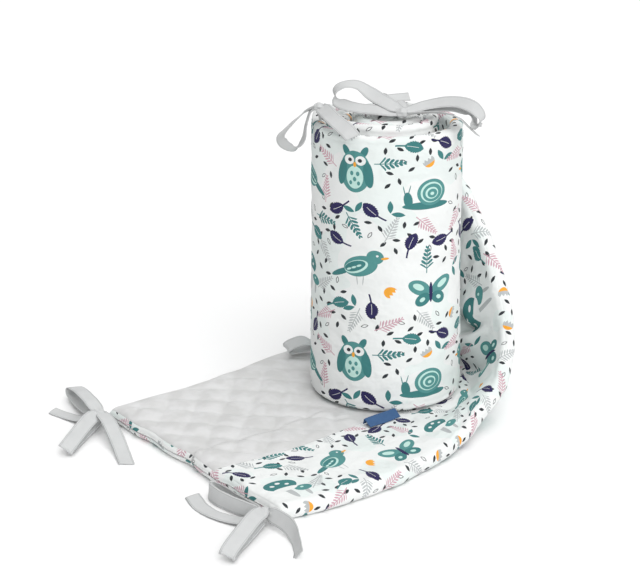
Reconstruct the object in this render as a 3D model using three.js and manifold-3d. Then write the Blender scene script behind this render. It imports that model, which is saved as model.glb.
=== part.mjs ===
// A padded crib bumper, part unrolled on the floor and part standing as a loose roll.
// Millimetres, +Z up. The laid tail runs along X, its free end at -X, its printed border toward -Y.
// The origin is on the floor under the axis of the roll, which stands on the tail.
import * as THREE from "three";
import * as BufferGeometryUtils from "three/addons/utils/BufferGeometryUtils.js";
import Module from "manifold-3d";

const wasm = await Module();
wasm.setup();

// Driving dimensions
const STRIP_LENGTH = 1800;
const STRIP_WIDTH = 300;
const FREE_HALF = 8.5; // half the pad's thickness where it lies free
const ROLLED_HALF = 6.8; // half its thickness where it is rolled up
const SKIN_THICK = 1.5; // a sewn-on cloth panel
const PIECE_GAP = 0.3; // between one sewn piece and the next
const SEAM_MARGIN = 6; // from the strip's edge to the panels' edge
const BORDER_EDGE = STRIP_WIDTH - SEAM_MARGIN;
const CLOTH_STEP = 23.5; // between the lines that shape the cloth across the strip
const BAND_SEAM = 194; // across the strip, where velvet meets the printed border
const QUILT_CELL = 42; // diagonal of a quilted diamond
const QUILT_PUFF = 1.7; // height of a diamond over the panel
const BEND_START = 150; // along the strip, where its laid part begins to rise
const QUILT_END = 430; // along the strip, where the quilting goes out of sight
const ROLL_FOOT = 17.6; // height of the roll's foot, just over the tail
const ROLL_TOP = ROLL_FOOT + STRIP_WIDTH;
const ROLL_FLARE = 1.03; // foot radius over top radius
const ROLL_START = 853; // along the strip, where the round roll begins
const INNER_END_RISE = 9; // how far the strip's inner end stands proud of the roll
const RIBBON_WIDTH = 16;
const RIBBON_THICK = 1;
const LABEL = { from: 176, to: 218, seam: 199, out: 217, thick: 0.9, lift: 2.2 };

// Angles, in degrees, from +X toward +Y
const VIEW_TURN = 37.68; // the roll's open side lies this far round from the tail
const ROLL_LEFT = 180 - VIEW_TURN; // where the round roll begins
const DEG = Math.PI / 180;

// The strip before it enters the roll, a row for each place along it: its border edge,
// its plain edge, and the point that the cloth between them bends toward.
const layRows = [
  { along: 0, border: [-264, -172, 8.5], plain: [-266, 129, 8.5] },
  { along: 50, border: [-216, -179, 8.5], plain: [-216, 130, 8.5] },
  { along: 100, border: [-167, -182, 8.5], plain: [-166, 131, 8.5] },
  { along: 150, border: [-118, -177, 8.5], plain: [-116, 136, 8.5] },
  { along: 200, border: [-66, -166, 10], plain: [-66, 145, 8.5], bend: [-66, -25, 8] },
  { along: 250, border: [-20, -152, 15], plain: [-16, 153, 8.5], bend: [-16, -30, 7] },
  { along: 300, border: [24, -133, 27], plain: [34, 159, 8.5], bend: [36, -30, 5] },
  { along: 343, border: [63, -116, 42], plain: [76, 162, 8.5], bend: [72, 1, 1] },
  { along: 384, border: [92, -95, 68], plain: [117, 160, 8.5], bend: [103, 26, -2] },
  { along: 438, border: [105, -74, 113], plain: [168, 158, 10], bend: [108, 50, 8] },
  { along: 480, border: [109, -52, 148], plain: [198, 152, 9], bend: [114, 54, 25] },
  { along: 514, border: [112, -30, 175], plain: [216, 137, 16], bend: [120, 70, 52] },
  { along: 548, border: [115, -6, 200], plain: [214, 132, 33], bend: [125, 87, 86] },
  { along: 582, border: [113, 18, 224], plain: [197, 139, 52], bend: [131, 104, 107] },
  { along: 634, border: [98, 62, 258], plain: [155, 141, 63], bend: [123, 119, 137] },
  { along: 690, border: [60, 92, 284], plain: [99, 115, 43], bend: [88, 116, 155] },
  { along: 746, border: [14, 99, 302], plain: [46, 106, 29], bend: [34, 106, 160] },
  { along: 797, border: [-24, 80, 312], plain: [-11, 90, 21], bend: [-17, 88, 165] },
];

// Radius of the strip's middle at each quarter turn of the roll, from its back, turning to its left side
const quarterRadii = [72.5, 71, 71, 69, 58, 46, 54, 44, 42, 31, 38, 28, 26, 16, 21, 13, 9.5];

function smooth(from, to, x) {
  const t = Math.min(Math.max((x - from) / (to - from), 0), 1);
  return t * t * (3 - 2 * t);
}

// A curve through the values at the knots, its slope at each one taken from both neighbours
function through(knots, values, x) {
  const last = knots.length - 1;
  let i = 0;
  while (i < last - 1 && x > knots[i + 1]) i += 1;
  const slope = (k) => {
    if (k === 0) return (values[1] - values[0]) / (knots[1] - knots[0]);
    if (k === last) return (values[last] - values[last - 1]) / (knots[last] - knots[last - 1]);
    const before = knots[k] - knots[k - 1];
    const after = knots[k + 1] - knots[k];
    const rise = (values[k] - values[k - 1]) / before;
    const next = (values[k + 1] - values[k]) / after;
    return (rise * after + next * before) / (before + after);
  };
  const h = knots[i + 1] - knots[i];
  const t = (x - knots[i]) / h;
  const a = (1 + 2 * t) * (1 - t) * (1 - t);
  const b = t * (1 - t) * (1 - t) * h;
  const c = t * t * (3 - 2 * t);
  const d = t * t * (t - 1) * h;
  return a * values[i] + b * slope(i) + c * values[i + 1] + d * slope(i + 1);
}

// The wound part: small steps of angle, with the length run so far from where the round roll begins
const spiral = [];
{
  const stepsPerQuarter = 30;
  const quarters = quarterRadii.map((_, k) => k);
  let run = 0;
  for (let i = stepsPerQuarter; i <= stepsPerQuarter * (quarterRadii.length - 1); i += 1) {
    const k = i / stepsPerQuarter;
    const radius = through(quarters, quarterRadii, k);
    const angle = (ROLL_LEFT - 90 + 90 * k) * DEG;
    const x = radius * Math.cos(angle);
    const y = radius * Math.sin(angle);
    const before = spiral.at(-1);
    if (before) run += Math.hypot(x - before.x, y - before.y);
    spiral.push({ along: ROLL_START + run, x, y });
  }
}

function spiralAt(along) {
  let i = 0;
  while (i < spiral.length - 2 && along > spiral[i + 1].along) i += 1;
  const t = (along - spiral[i].along) / (spiral[i + 1].along - spiral[i].along);
  return [spiral[i].x + t * (spiral[i + 1].x - spiral[i].x), spiral[i].y + t * (spiral[i + 1].y - spiral[i].y)];
}

// Rows for the whole strip: the laid rows, then one every 12 mm of the roll
const sections = layRows.map(({ along, border, plain, bend }) => {
  const between = bend ?? border.map((value, axis) => (value + plain[axis]) / 2);
  return { along, border, plain, bend: between };
});
for (let along = ROLL_START; along <= STRIP_LENGTH + 12; along += 12) {
  const [x, y] = spiralAt(along);
  const top = ROLL_TOP + INNER_END_RISE * smooth(STRIP_LENGTH - 70, STRIP_LENGTH, along);
  const foot = [x * ROLL_FLARE, y * ROLL_FLARE, ROLL_FOOT];
  const bend = [(x + foot[0]) / 2, (y + foot[1]) / 2, (top + ROLL_FOOT) / 2];
  sections.push({ along, border: [x, y, top], plain: foot, bend });
}
const sectionKnots = sections.map((section) => section.along);
const sectionCurves = {};
for (const name of ["border", "plain", "bend"]) {
  sectionCurves[name] = [0, 1, 2].map((axis) => sections.map((section) => section[name][axis]));
}

function edgePoint(name, along) {
  return sectionCurves[name].map((values) => through(sectionKnots, values, along));
}

// The strip's middle surface: a bent line from the plain edge to the border edge,
// pressed flat where the roll stands on it and held up by the floor.
function middle(along, across) {
  const plain = edgePoint("plain", along);
  const bend = edgePoint("bend", along);
  const border = edgePoint("border", along);
  const t = across / STRIP_WIDTH;
  const p = plain.map((value, i) => (1 - t) ** 2 * value + 2 * t * (1 - t) * bend[i] + t * t * border[i]);
  const free = Math.max(smooth(88, 122, Math.hypot(p[0], p[1])), smooth(410, 460, along));
  p[2] = Math.max(FREE_HALF + (p[2] - FREE_HALF) * free, FREE_HALF);
  return new THREE.Vector3(...p);
}

// The direction that the velvet faces
function facing(along, across) {
  const step = 1;
  const a = Math.min(Math.max(along, step), STRIP_LENGTH - step);
  const c = Math.min(Math.max(across, step), STRIP_WIDTH - step);
  const alongStrip = middle(a + step, c).sub(middle(a - step, c));
  const acrossStrip = middle(a, c + step).sub(middle(a, c - step));
  return acrossStrip.cross(alongStrip).normalize();
}

function halfThickness(along) {
  const round = Math.sqrt(Math.min(1, 0.12 + Math.min(along, STRIP_LENGTH - along) / 8));
  return (FREE_HALF + (ROLLED_HALF - FREE_HALF) * smooth(480, 760, along)) * round;
}

// A point at a height over the strip's middle surface, toward the velvet
function pointAt(along, across, height) {
  const p = middle(along, across).addScaledVector(facing(along, across), height);
  p.z = Math.max(p.z, 0);
  return p;
}

// Puffed diamonds between crossing stitch lines, pressed flat under the roll
function quiltHeight(along, across) {
  const a = Math.sin((Math.PI * (along + across)) / QUILT_CELL);
  const b = Math.sin((Math.PI * (along - across)) / QUILT_CELL);
  const p = middle(along, across);
  const free = smooth(80, 104, Math.hypot(p.x, p.y)) * (1 - smooth(QUILT_END - 60, QUILT_END, along));
  const shown = smooth(0, 14, across - SEAM_MARGIN) * smooth(0, 14, BAND_SEAM - across) * smooth(4, 20, along);
  return (QUILT_PUFF * Math.sqrt(Math.abs(a * b)) - 0.5) * free * shown;
}

// A line of places along the strip, evenly spread and a step or so apart
function spread(from, to, step) {
  const count = Math.max(Math.round((to - from) / step), 1);
  return Array.from({ length: count + 1 }, (_, i) => from + ((to - from) * i) / count);
}

const laidFew = [0, 2, 6, 9, ...spread(30, 130, 20)];
const quiltStep = QUILT_CELL / 4;
const bent = [...spread(BEND_START, QUILT_END, quiltStep), ...spread(QUILT_END, ROLL_START, 16).slice(1, -1)];
const wound = [];
for (let i = 0; i < spiral.length; i += 6) wound.push(spiral[i].along);
const rolled = [...wound.filter((along) => along < STRIP_LENGTH - 8), STRIP_LENGTH - 6, STRIP_LENGTH - 2, STRIP_LENGTH];

// A wall of triangles between two lines of points, matched by how far along each line they are
function zip(lineA, lineB, faces, leadB = false) {
  const share = (line, i) => i / (line.length - 1);
  let i = 0;
  let j = 0;
  while (i < lineA.length - 1 || j < lineB.length - 1) {
    const ahead = share(lineB, j + 1) - share(lineA, i + 1);
    const first = leadB ? ahead > 1e-9 : ahead > -1e-9;
    if (j === lineB.length - 1 || (i < lineA.length - 1 && first)) {
      faces.push([lineA[i], lineB[j], lineA[i + 1]]);
      i += 1;
    } else {
      faces.push([lineA[i], lineB[j], lineB[j + 1]]);
      j += 1;
    }
  }
}

// A closed solid from ribs. Each rib is a ring of four lines: face, side, back, side,
// each line starting where the last one ends.
function solidFromRibs(ribs) {
  const faces = [];
  for (let r = 0; r < ribs.length - 1; r += 1) {
    ribs[r].forEach((line, k) => zip(line, ribs[r + 1][k], faces, k === 2));
  }
  for (const [rib, turned] of [[ribs[0], false], [ribs.at(-1), true]]) {
    const [face, side, back, otherSide] = rib;
    const cap = [];
    zip([...back].reverse(), face, cap);
    for (const line of [side, otherSide]) {
      for (let i = 1; i < line.length - 1; i += 1) cap.push([line[0], line[i], line[i + 1]]);
    }
    for (const [p, q, s] of cap) faces.push(turned ? [p, s, q] : [p, q, s]);
  }
  const wide = faces.filter(([p, q, s]) => p !== q && q !== s && s !== p);
  const numbers = wide.flatMap((face) => face.flatMap((p) => [p.x, p.y, p.z]));
  let geometry = new THREE.BufferGeometry();
  geometry.setAttribute("position", new THREE.Float32BufferAttribute(numbers, 3));
  geometry = BufferGeometryUtils.mergeVertices(geometry, 1e-5);
  if (signedVolume(geometry) < 0) {
    const order = geometry.index.array;
    for (let i = 0; i < order.length; i += 3) [order[i], order[i + 1]] = [order[i + 1], order[i]];
  }
  geometry.computeVertexNormals();
  return geometry;
}

function signedVolume(geometry) {
  const at = geometry.getAttribute("position");
  const order = geometry.index.array;
  const corner = [0, 1, 2].map(() => new THREE.Vector3());
  let total = 0;
  for (let i = 0; i < order.length; i += 3) {
    corner.forEach((p, k) => p.fromBufferAttribute(at, order[i + k]));
    total += corner[0].dot(corner[1].clone().cross(corner[2])) / 6;
  }
  return total;
}

// The filled pad: print outside and round both edges, hollowed on the velvet side for the two panels
function paddedStrip() {
  const stations = [...laidFew, ...bent, ...rolled];
  const inside = [...spread(SEAM_MARGIN, BAND_SEAM, CLOTH_STEP), ...spread(BAND_SEAM + PIECE_GAP, BORDER_EDGE, CLOTH_STEP)];
  const outside = spread(SEAM_MARGIN, BORDER_EDGE, 48).reverse();
  const ribs = stations.map((along) => {
    const half = halfThickness(along);
    const coarse = along < BEND_START || along > ROLL_START;
    const pick = (line) => (coarse ? [line[0], line.at(-1)] : line);
    const inset = Math.max(half - SKIN_THICK - PIECE_GAP, half * 0.5);
    const face = pick(inside).map((across) => pointAt(along, across, inset));
    const back = pick(outside).map((across) => pointAt(along, across, -half));
    const round = (edge, sign) => [
      pointAt(along, edge + sign * 2.2, half * 0.62),
      pointAt(along, edge, 0),
      pointAt(along, edge + sign * 2.2, -half * 0.62),
    ];
    const borderSide = [face.at(-1), ...round(STRIP_WIDTH, -1), back[0]];
    const plainSide = [back.at(-1), ...round(0, 1).reverse(), face[0]];
    return [face, borderSide, back, plainSide];
  });
  return solidFromRibs(ribs);
}

// A cloth panel lying on the pad's velvet side, between two lines along the strip
function panel(from, to, step, stations, relief) {
  const ribs = stations.map((along) => {
    const half = halfThickness(along);
    const coarse = along > ROLL_START;
    const quilted = relief && along < QUILT_END;
    const under = coarse ? [from, to] : spread(from, to, step);
    const over = quilted ? spread(from, to, quiltStep) : under;
    const rise = (across) => (quilted ? relief(along, across) : 0);
    const face = over.map((across) => pointAt(along, across, half + rise(across)));
    const back = under.map((across) => pointAt(along, across, half - SKIN_THICK)).reverse();
    return [face, [face.at(-1), back[0]], back, [back.at(-1), face[0]]];
  });
  return solidFromRibs(ribs);
}

function velvetPanel() {
  const laid = [SEAM_MARGIN, 9, ...spread(19.5, BEND_START, quiltStep).slice(0, -1)];
  const wide = rolled.filter((along) => along <= STRIP_LENGTH - SEAM_MARGIN);
  return panel(SEAM_MARGIN, BAND_SEAM, CLOTH_STEP, [...laid, ...bent, ...wide], quiltHeight);
}

function borderBand() {
  const laid = laidFew.filter((along) => along >= SEAM_MARGIN);
  const wide = rolled.filter((along) => along <= STRIP_LENGTH - SEAM_MARGIN);
  return panel(BAND_SEAM + 2 * PIECE_GAP, BORDER_EDGE, CLOTH_STEP, [...laid, ...bent, ...wide], null);
}

// A blank tag caught in the seam between velvet and border, its free side lifted a little
function sideLabel() {
  const ribs = spread(LABEL.from, LABEL.to, 7).map((along) => {
    const base = halfThickness(along) + PIECE_GAP;
    const lines = [0, 0.5, 1].map((share) => ({
      across: LABEL.seam + share * (LABEL.out - LABEL.seam),
      under: base + LABEL.lift * share * share,
    }));
    const face = lines.map(({ across, under }) => pointAt(along, across, under + LABEL.thick));
    const back = lines.map(({ across, under }) => pointAt(along, across, under)).reverse();
    return [face, [face.at(-1), back[0]], back, [back.at(-1), face[0]]];
  });
  return solidFromRibs(ribs);
}

// A ribbon along a few points given from its knot, each with the direction its width lies in
function ribbon(points) {
  const knots = points.map((_, i) => i);
  const read = (name, axis, t) => through(knots, points.map((point) => point[name][axis]), t);
  const vector = (name, t) => new THREE.Vector3(read(name, 0, t), read(name, 1, t), read(name, 2, t));
  const ribs = spread(0, points.length - 1, 1 / 3).map((t) => {
    const at = vector("at", t);
    const end = points.length - 1;
    const ahead = vector("at", Math.min(t + 0.05, end)).sub(vector("at", Math.max(t - 0.05, 0))).normalize();
    const wide = vector("wide", t);
    wide.addScaledVector(ahead, -wide.dot(ahead)).setLength(RIBBON_WIDTH / 2);
    const thick = ahead.clone().cross(wide).setLength(RIBBON_THICK / 2);
    const corner = (w, n) => at.clone().addScaledVector(wide, w).addScaledVector(thick, n);
    const [a, b, c, d] = [corner(-1, 1), corner(1, 1), corner(1, -1), corner(-1, -1)];
    return [[a, b], [b, c], [c, d], [d, a]];
  });
  return solidFromRibs(ribs);
}

function toManifold(geometry) {
  const bare = geometry.clone();
  bare.deleteAttribute("normal");
  if (bare.getAttribute("uv")) bare.deleteAttribute("uv");
  const merged = BufferGeometryUtils.mergeVertices(bare, 1e-4);
  const vertProperties = new Float32Array(merged.getAttribute("position").array);
  const triVerts = new Uint32Array(merged.index.array);
  return new wasm.Manifold(new wasm.Mesh({ numProp: 3, vertProperties, triVerts }));
}

function fromManifold(solid) {
  const mesh = solid.getMesh();
  const geometry = new THREE.BufferGeometry();
  geometry.setAttribute("position", new THREE.BufferAttribute(mesh.vertProperties, 3));
  geometry.setIndex(new THREE.BufferAttribute(mesh.triVerts, 1));
  geometry.computeVertexNormals();
  return geometry;
}

// A tie: its ribbons fused at one knot, which sits at the place given
function tie({ knot, knotSize, ribbons }) {
  const ball = new THREE.SphereGeometry(1, 10, 7);
  ball.scale(...knotSize);
  let solid = toManifold(ball);
  for (const points of ribbons) solid = solid.add(toManifold(ribbon(points)));
  // What the folded ribbons seal off inside themselves is filled: only the outer shell is kept
  const shells = solid.decompose().sort((a, b) => b.volume() - a.volume());
  const geometry = fromManifold(shells[0]);
  geometry.translate(...knot);
  return geometry;
}

// The ties at the free end's two corners: root, loops and tails, from the knot
const farCornerTie = {
  knot: [-279, 124, 13],
  knotSize: [7.5, 6.5, 6],
  ribbons: [
    [
      { at: [11.6, -2, -4.5], wide: [0, 1, 0] },
      { at: [6, -1, -2.5], wide: [0, 1, 0] },
      { at: [0, 0, 0], wide: [0, 1, 0] },
    ],
    [
      { at: [0, 2, 3], wide: [0.97, -0.1, 0] },
      { at: [4, 24, 6], wide: [0.97, -0.2, 0] },
      { at: [9, 48, 6], wide: [0.97, -0.2, 0] },
      { at: [14, 70, 3], wide: [0.95, -0.25, 0] },
      { at: [17, 82, -1], wide: [0.93, -0.35, 0] },
      { at: [15, 80, -6], wide: [0.93, -0.35, 0] },
      { at: [8, 56, -7], wide: [0.95, -0.25, 0] },
      { at: [3, 28, -6], wide: [0.97, -0.15, 0] },
      { at: [0, 3, -2], wide: [0.97, -0.1, 0] },
    ],
    [
      { at: [-2, -1, 3], wide: [0.45, -0.75, 0.5] },
      { at: [-18, -11, 4], wide: [0.4, -0.6, 0.7] },
      { at: [-38, -25, 0], wide: [0.3, -0.4, 0.87] },
      { at: [-56, -39, -3], wide: [0.1, -0.1, 1] },
      { at: [-67, -49, -4], wide: [0, 0, 1] },
      { at: [-66, -42, -4], wide: [0, 0, 1] },
      { at: [-52, -25, -4], wide: [0.05, -0.05, 1] },
      { at: [-33, -10, -4], wide: [0, 0, 1] },
      { at: [-4, 0, -3], wide: [0, 0, 1] },
    ],
    [
      { at: [-3, 3, -2], wide: [0.9, 0.3, 0.1] },
      { at: [-10, 20, -9], wide: [0.95, 0.28, 0] },
      { at: [-15, 42, -11.8], wide: [0.97, 0.22, 0] },
      { at: [-20, 64, -12], wide: [0.97, 0.22, 0] },
    ],
    [
      { at: [0, -3, 3], wide: [0.95, -0.25, 0] },
      { at: [-5, -24, 3.5], wide: [0.95, -0.27, 0] },
      { at: [-12, -49, -1.5], wide: [0.95, -0.3, 0] },
      { at: [-20, -75, -9.5], wide: [0.95, -0.32, 0] },
      { at: [-29, -98, -12], wide: [0.93, -0.36, 0] },
    ],
  ],
};

const nearCornerTie = {
  knot: [-275, -163, 12],
  knotSize: [7, 7, 6],
  ribbons: [
    [
      { at: [10.2, 0, -3.5], wide: [0, 1, 0] },
      { at: [5, 0, -1.5], wide: [0, 1, 0] },
      { at: [0, 0, 0], wide: [0, 1, 0] },
    ],
    [
      { at: [-2, -2, 4], wide: [0.5, -0.8, 0.2] },
      { at: [-20, -13, 6], wide: [0.5, -0.8, -0.1] },
      { at: [-42, -26, 3.5], wide: [0.5, -0.72, -0.4] },
      { at: [-61, -37, -1], wide: [0.52, -0.6, -0.6] },
      { at: [-71, -43, -4], wide: [0.52, -0.58, -0.63] },
      { at: [-68, -45, -6.5], wide: [0.52, -0.6, -0.5] },
      { at: [-52, -37, -7], wide: [0.5, -0.72, -0.3] },
      { at: [-30, -24, -6.5], wide: [0.5, -0.8, -0.2] },
      { at: [-4, -5, -4], wide: [0.5, -0.8, 0] },
    ],
    [
      { at: [1, -4, 1], wide: [0.3, 0.2, 0.9] },
      { at: [7, -18, 0], wide: [0.45, 0.2, 0.85] },
      { at: [17, -30, -2], wide: [0.6, 0.15, 0.75] },
      { at: [15, -47, -5], wide: [0.8, 0, 0.5] },
      { at: [3, -62, -8], wide: [0.75, -0.5, 0.32] },
      { at: [-9, -72, -9], wide: [0.68, -0.62, 0.3] },
    ],
    [
      { at: [-3, 2, -3], wide: [0.5, 0.85, 0] },
      { at: [-15, 10, -8], wide: [0.55, 0.82, 0] },
      { at: [-26, 36, -10.5], wide: [0.93, 0.35, 0] },
      { at: [-28, 63, -11], wide: [1, 0, 0] },
      { at: [-21, 90, -11], wide: [0.95, -0.3, 0] },
    ],
    [
      { at: [-2, 4, -3], wide: [0, 0, 1] },
      { at: [-9, 28, -3], wide: [0.25, 0, 0.97] },
      { at: [-13, 54, -3], wide: [0.3, 0, 0.95] },
      { at: [-12, 73, -3], wide: [0.25, 0.1, 1] },
      { at: [-6, 77, -3], wide: [0, 0.2, 1] },
      { at: [-1.5, 64, -3], wide: [-0.2, 0, 1] },
      { at: [-1.5, 38, -3], wide: [-0.2, 0, 1] },
      { at: [0, 6, -3], wide: [0, 0, 1] },
    ],
  ],
};

// The ties on the roll, laid out with +X to the roll's right and +Y to its back as its open side faces -Y
const midTopTie = {
  knot: [-70.5, -13, 325.5],
  knotSize: [6.5, 7.5, 5.5],
  ribbons: [
    [
      { at: [0, 0, -7.4], wide: [0.18, -0.98, 0] },
      { at: [0, 0, -4], wide: [0.18, -0.98, 0] },
      { at: [0, 0, 0], wide: [0.18, -0.98, 0] },
    ],
    [
      { at: [-2, 1, 1], wide: [0.3, -0.8, 0.5] },
      { at: [-15, 5, -7], wide: [0.45, -0.7, 0.55] },
      { at: [-28, 5, -19], wide: [0.56, -0.6, 0.57] },
      { at: [-38, 3, -31], wide: [0.56, -0.6, 0.57] },
      { at: [-35, 1, -39], wide: [0.56, -0.6, 0.5] },
      { at: [-24, -1, -42], wide: [0.5, -0.7, 0.5] },
      { at: [-16, -1, -33], wide: [0.3, -0.9, 0.2] },
      { at: [-13, 1, -18], wide: [0.15, -0.97, 0.1] },
      { at: [-9, 2, -5], wide: [0.1, -0.97, 0.1] },
      { at: [-2, 1, 0], wide: [0.1, -0.97, 0.1] },
    ],
    [
      { at: [2, -3, 1], wide: [0.75, 0.45, 0.5] },
      { at: [7, -22, 1.5], wide: [0.72, 0.5, 0.48] },
      { at: [15, -44, -1], wide: [0.62, 0.6, 0.5] },
      { at: [27, -58, -7.5], wide: [0.6, 0.35, 0.72] },
      { at: [34, -60.5, -15], wide: [0.66, 0.3, 0.68] },
    ],
  ],
};

const midLowTie = {
  knot: [-76, 86.5, 30],
  knotSize: [6, 6, 5.5],
  ribbons: [
    [
      { at: [9, -9.8, -3], wide: [0.8, 0.6, 0] },
      { at: [5, -6, -2], wide: [0.8, 0.6, 0] },
      { at: [0, 0, 0], wide: [0.8, 0.6, 0] },
    ],
    [
      { at: [-2, -1, 1], wide: [0.4, -0.8, -0.4] },
      { at: [-13, -2, 5], wide: [0.4, -0.8, -0.4] },
      { at: [-24, -5, 3], wide: [0.42, -0.78, -0.42] },
      { at: [-31, -7, -1], wide: [0.45, -0.76, -0.42] },
      { at: [-29, -6, -4.5], wide: [0.42, -0.8, -0.3] },
      { at: [-18, -2, -5], wide: [0.3, -0.9, -0.2] },
      { at: [-3, 0, -3], wide: [0.3, -0.9, -0.1] },
    ],
    [
      { at: [2, 2, 0], wide: [-0.4, 0.9, 0] },
      { at: [18, 13, -5], wide: [-0.3, 0.95, 0] },
      { at: [36, 19, -8], wide: [-0.15, 1, 0] },
      { at: [56, 20, -9], wide: [0, 1, 0] },
    ],
  ],
};

const innerTopTie = {
  knot: [13, -33, 325],
  knotSize: [7.5, 6.5, 6],
  ribbons: [
    [
      { at: [-5, 36, 3.2], wide: [1, 0.1, 0] },
      { at: [-2, 22, 2.6], wide: [1, 0.1, 0] },
      { at: [0, 2, 0], wide: [1, 0.1, 0] },
    ],
    [
      { at: [-2, 0, 0], wide: [0.3, 0.9, 0.3] },
      { at: [-26, 7, 1], wide: [0.25, 0.9, 0.4] },
      { at: [-51, 18, 1.5], wide: [0.2, 0.88, 0.42] },
      { at: [-65, 28, 5], wide: [0, 0.9, 0.42] },
      { at: [-67, 32, 14], wide: [-0.1, 0.95, 0.3] },
      { at: [-59, 34, 20], wide: [-0.2, 0.95, 0.2] },
      { at: [-45, 35, 20], wide: [-0.1, 0.9, 0.4] },
      { at: [-32, 29, 13], wide: [0.2, 0.8, 0.55] },
      { at: [-17, 15, 7], wide: [0.35, 0.8, 0.5] },
      { at: [-1, 1, 2], wide: [0.4, 0.85, 0.3] },
    ],
    [
      { at: [-3, 4, -1], wide: [0.9, 0.4, 0] },
      { at: [-15, 20, 0.5], wide: [0.8, 0.6, 0.1] },
      { at: [-19, 40, 1], wide: [0.7, 0.7, 0.2] },
      { at: [-9, 57, 0.5], wide: [-0.4, 0.9, 0.3] },
      { at: [9, 66, 0], wide: [-0.3, 0.92, 0.3] },
    ],
    [
      { at: [3, 2, 1], wide: [-0.2, 0.95, 0.2] },
      { at: [28, 8, 7], wide: [-0.1, 0.9, 0.4] },
      { at: [52, 2, 11], wide: [0.1, 0.85, 0.5] },
      { at: [69, -11, 9], wide: [0.35, 0.8, 0.5] },
      { at: [77, -19, 0], wide: [0.35, 0.85, 0.4] },
      { at: [73, -19, -8], wide: [0.2, 0.95, 0.2] },
      { at: [68, -8, 1], wide: [0, 0.97, 0.2] },
      { at: [52, 4, 4], wide: [-0.2, 0.95, 0.2] },
      { at: [30, 10, 2], wide: [-0.2, 0.95, 0.1] },
      { at: [3, 4, -1], wide: [-0.2, 0.95, 0.1] },
    ],
    [
      { at: [4, 0, -1], wide: [0.3, 0.85, -0.3] },
      { at: [30, 4, -0.5], wide: [0.3, 0.85, -0.3] },
      { at: [53, -10, -1], wide: [0.32, 0.82, -0.35] },
      { at: [72, -26, -14], wide: [0.35, 0.8, -0.4] },
    ],
  ],
};

const cotton = new THREE.MeshStandardMaterial({ color: 0xf3f5f4, roughness: 0.9, metalness: 0 });
const velvet = new THREE.MeshStandardMaterial({ color: 0xd3d2d0, roughness: 0.85, metalness: 0 });
const tape = new THREE.MeshStandardMaterial({ color: 0xd9dcda, roughness: 0.8, metalness: 0 });
const tagCloth = new THREE.MeshStandardMaterial({ color: 0x4b6a96, roughness: 0.75, metalness: 0 });

const bumper = new THREE.Group();

function addPiece(name, geometry, material, turn = 0) {
  const mesh = new THREE.Mesh(geometry, material.clone());
  mesh.name = name;
  mesh.rotation.z = turn * DEG;
  bumper.add(mesh);
}

addPiece("padded_strip", paddedStrip(), cotton);
addPiece("velvet_panel", velvetPanel(), velvet);
addPiece("border_band", borderBand(), cotton);
addPiece("side_label", sideLabel(), tagCloth);
addPiece("tie_end_far", tie(farCornerTie), tape);
addPiece("tie_end_near", tie(nearCornerTie), tape);
addPiece("tie_mid_top", tie(midTopTie), tape, -VIEW_TURN);
addPiece("tie_mid_low", tie(midLowTie), tape, -VIEW_TURN);
addPiece("tie_inner_top", tie(innerTopTie), tape, -VIEW_TURN);

export default bumper;
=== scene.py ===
import math

import bpy
import numpy as np
from bpy.props import FloatProperty, FloatVectorProperty, PointerProperty
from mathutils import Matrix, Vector


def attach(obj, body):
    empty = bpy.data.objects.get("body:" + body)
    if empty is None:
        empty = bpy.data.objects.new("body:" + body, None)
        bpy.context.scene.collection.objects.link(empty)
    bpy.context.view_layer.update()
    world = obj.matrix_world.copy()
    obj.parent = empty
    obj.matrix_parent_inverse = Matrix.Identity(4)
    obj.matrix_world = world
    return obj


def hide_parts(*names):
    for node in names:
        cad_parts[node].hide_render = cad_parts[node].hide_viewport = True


bl_info = {
    "name": "Rolled Cot Bumper",
    "version": (1, 0, 0),
    "blender": (4, 5, 0),
    "location": "View3D > Sidebar > Bumper",
    "description": "Builds a padded cot bumper, partly rolled up, with its print and its ribbon ties",
    "category": "Add Mesh",
}

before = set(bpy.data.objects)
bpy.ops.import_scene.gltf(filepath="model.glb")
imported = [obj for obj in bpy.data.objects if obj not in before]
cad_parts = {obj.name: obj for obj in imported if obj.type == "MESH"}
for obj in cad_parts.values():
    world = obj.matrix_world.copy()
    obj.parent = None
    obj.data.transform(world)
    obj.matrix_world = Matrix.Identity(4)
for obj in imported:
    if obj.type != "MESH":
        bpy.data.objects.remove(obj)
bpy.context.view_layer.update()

# Sizes and places of the strip, in mm. Meshes are made in metres
MM = 0.001
FLOOR_GAP = 0.05
STRIP_LENGTH = 1800.0
STRIP_WIDTH = 300.0
FREE_HALF = 8.5
ROLLED_HALF = 6.8
BAND_SEAM = 194.3
SEAM_GAP = 0.4
SKIN_EDGE = 2.6
SKIN_THICK = 0.35
SKIN_STEP = 2.9
SUNK = 2.6
TUCK = 2.8
QUILT_PITCH = 42.0
QUILT_PUFF = 4.0
STITCH_DEPTH = 1.7
EDGE_STEPS = np.array([0, 0.25, 0.9, 2.0, 3.4, 5.0, 6.8, 8.6, 10.5, 12.4, 15, 18])

# The roll, whose middle is the origin. Its outer turn is drawn in at its top and foot
ROLL_FOOT = 17.6
ROLL_FLARE = 1.03
ROLL_START = 853.0
INNER_END_RISE = 9.0
OUTER_TURN_END = (1230.0, 1320.0)
OUTER_TURN_DRAWN = {"top": 7.0, "foot": 2.0}
VIEW_TURN = math.radians(37.68)
ROLL_LEFT = math.pi - VIEW_TURN

# Ribbons and tag
RIBBON_WIDTH = 16.0
RIBBON_THICK = 1.0
RIBBON_STEP = 1.3
RIBBON_STITCH = (6.0, 6.6)
LABEL = {"from": 181.0, "to": 224.0, "seam": 199.0, "out": 212.0, "thick": 0.9, "ridge": 6.5}

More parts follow.
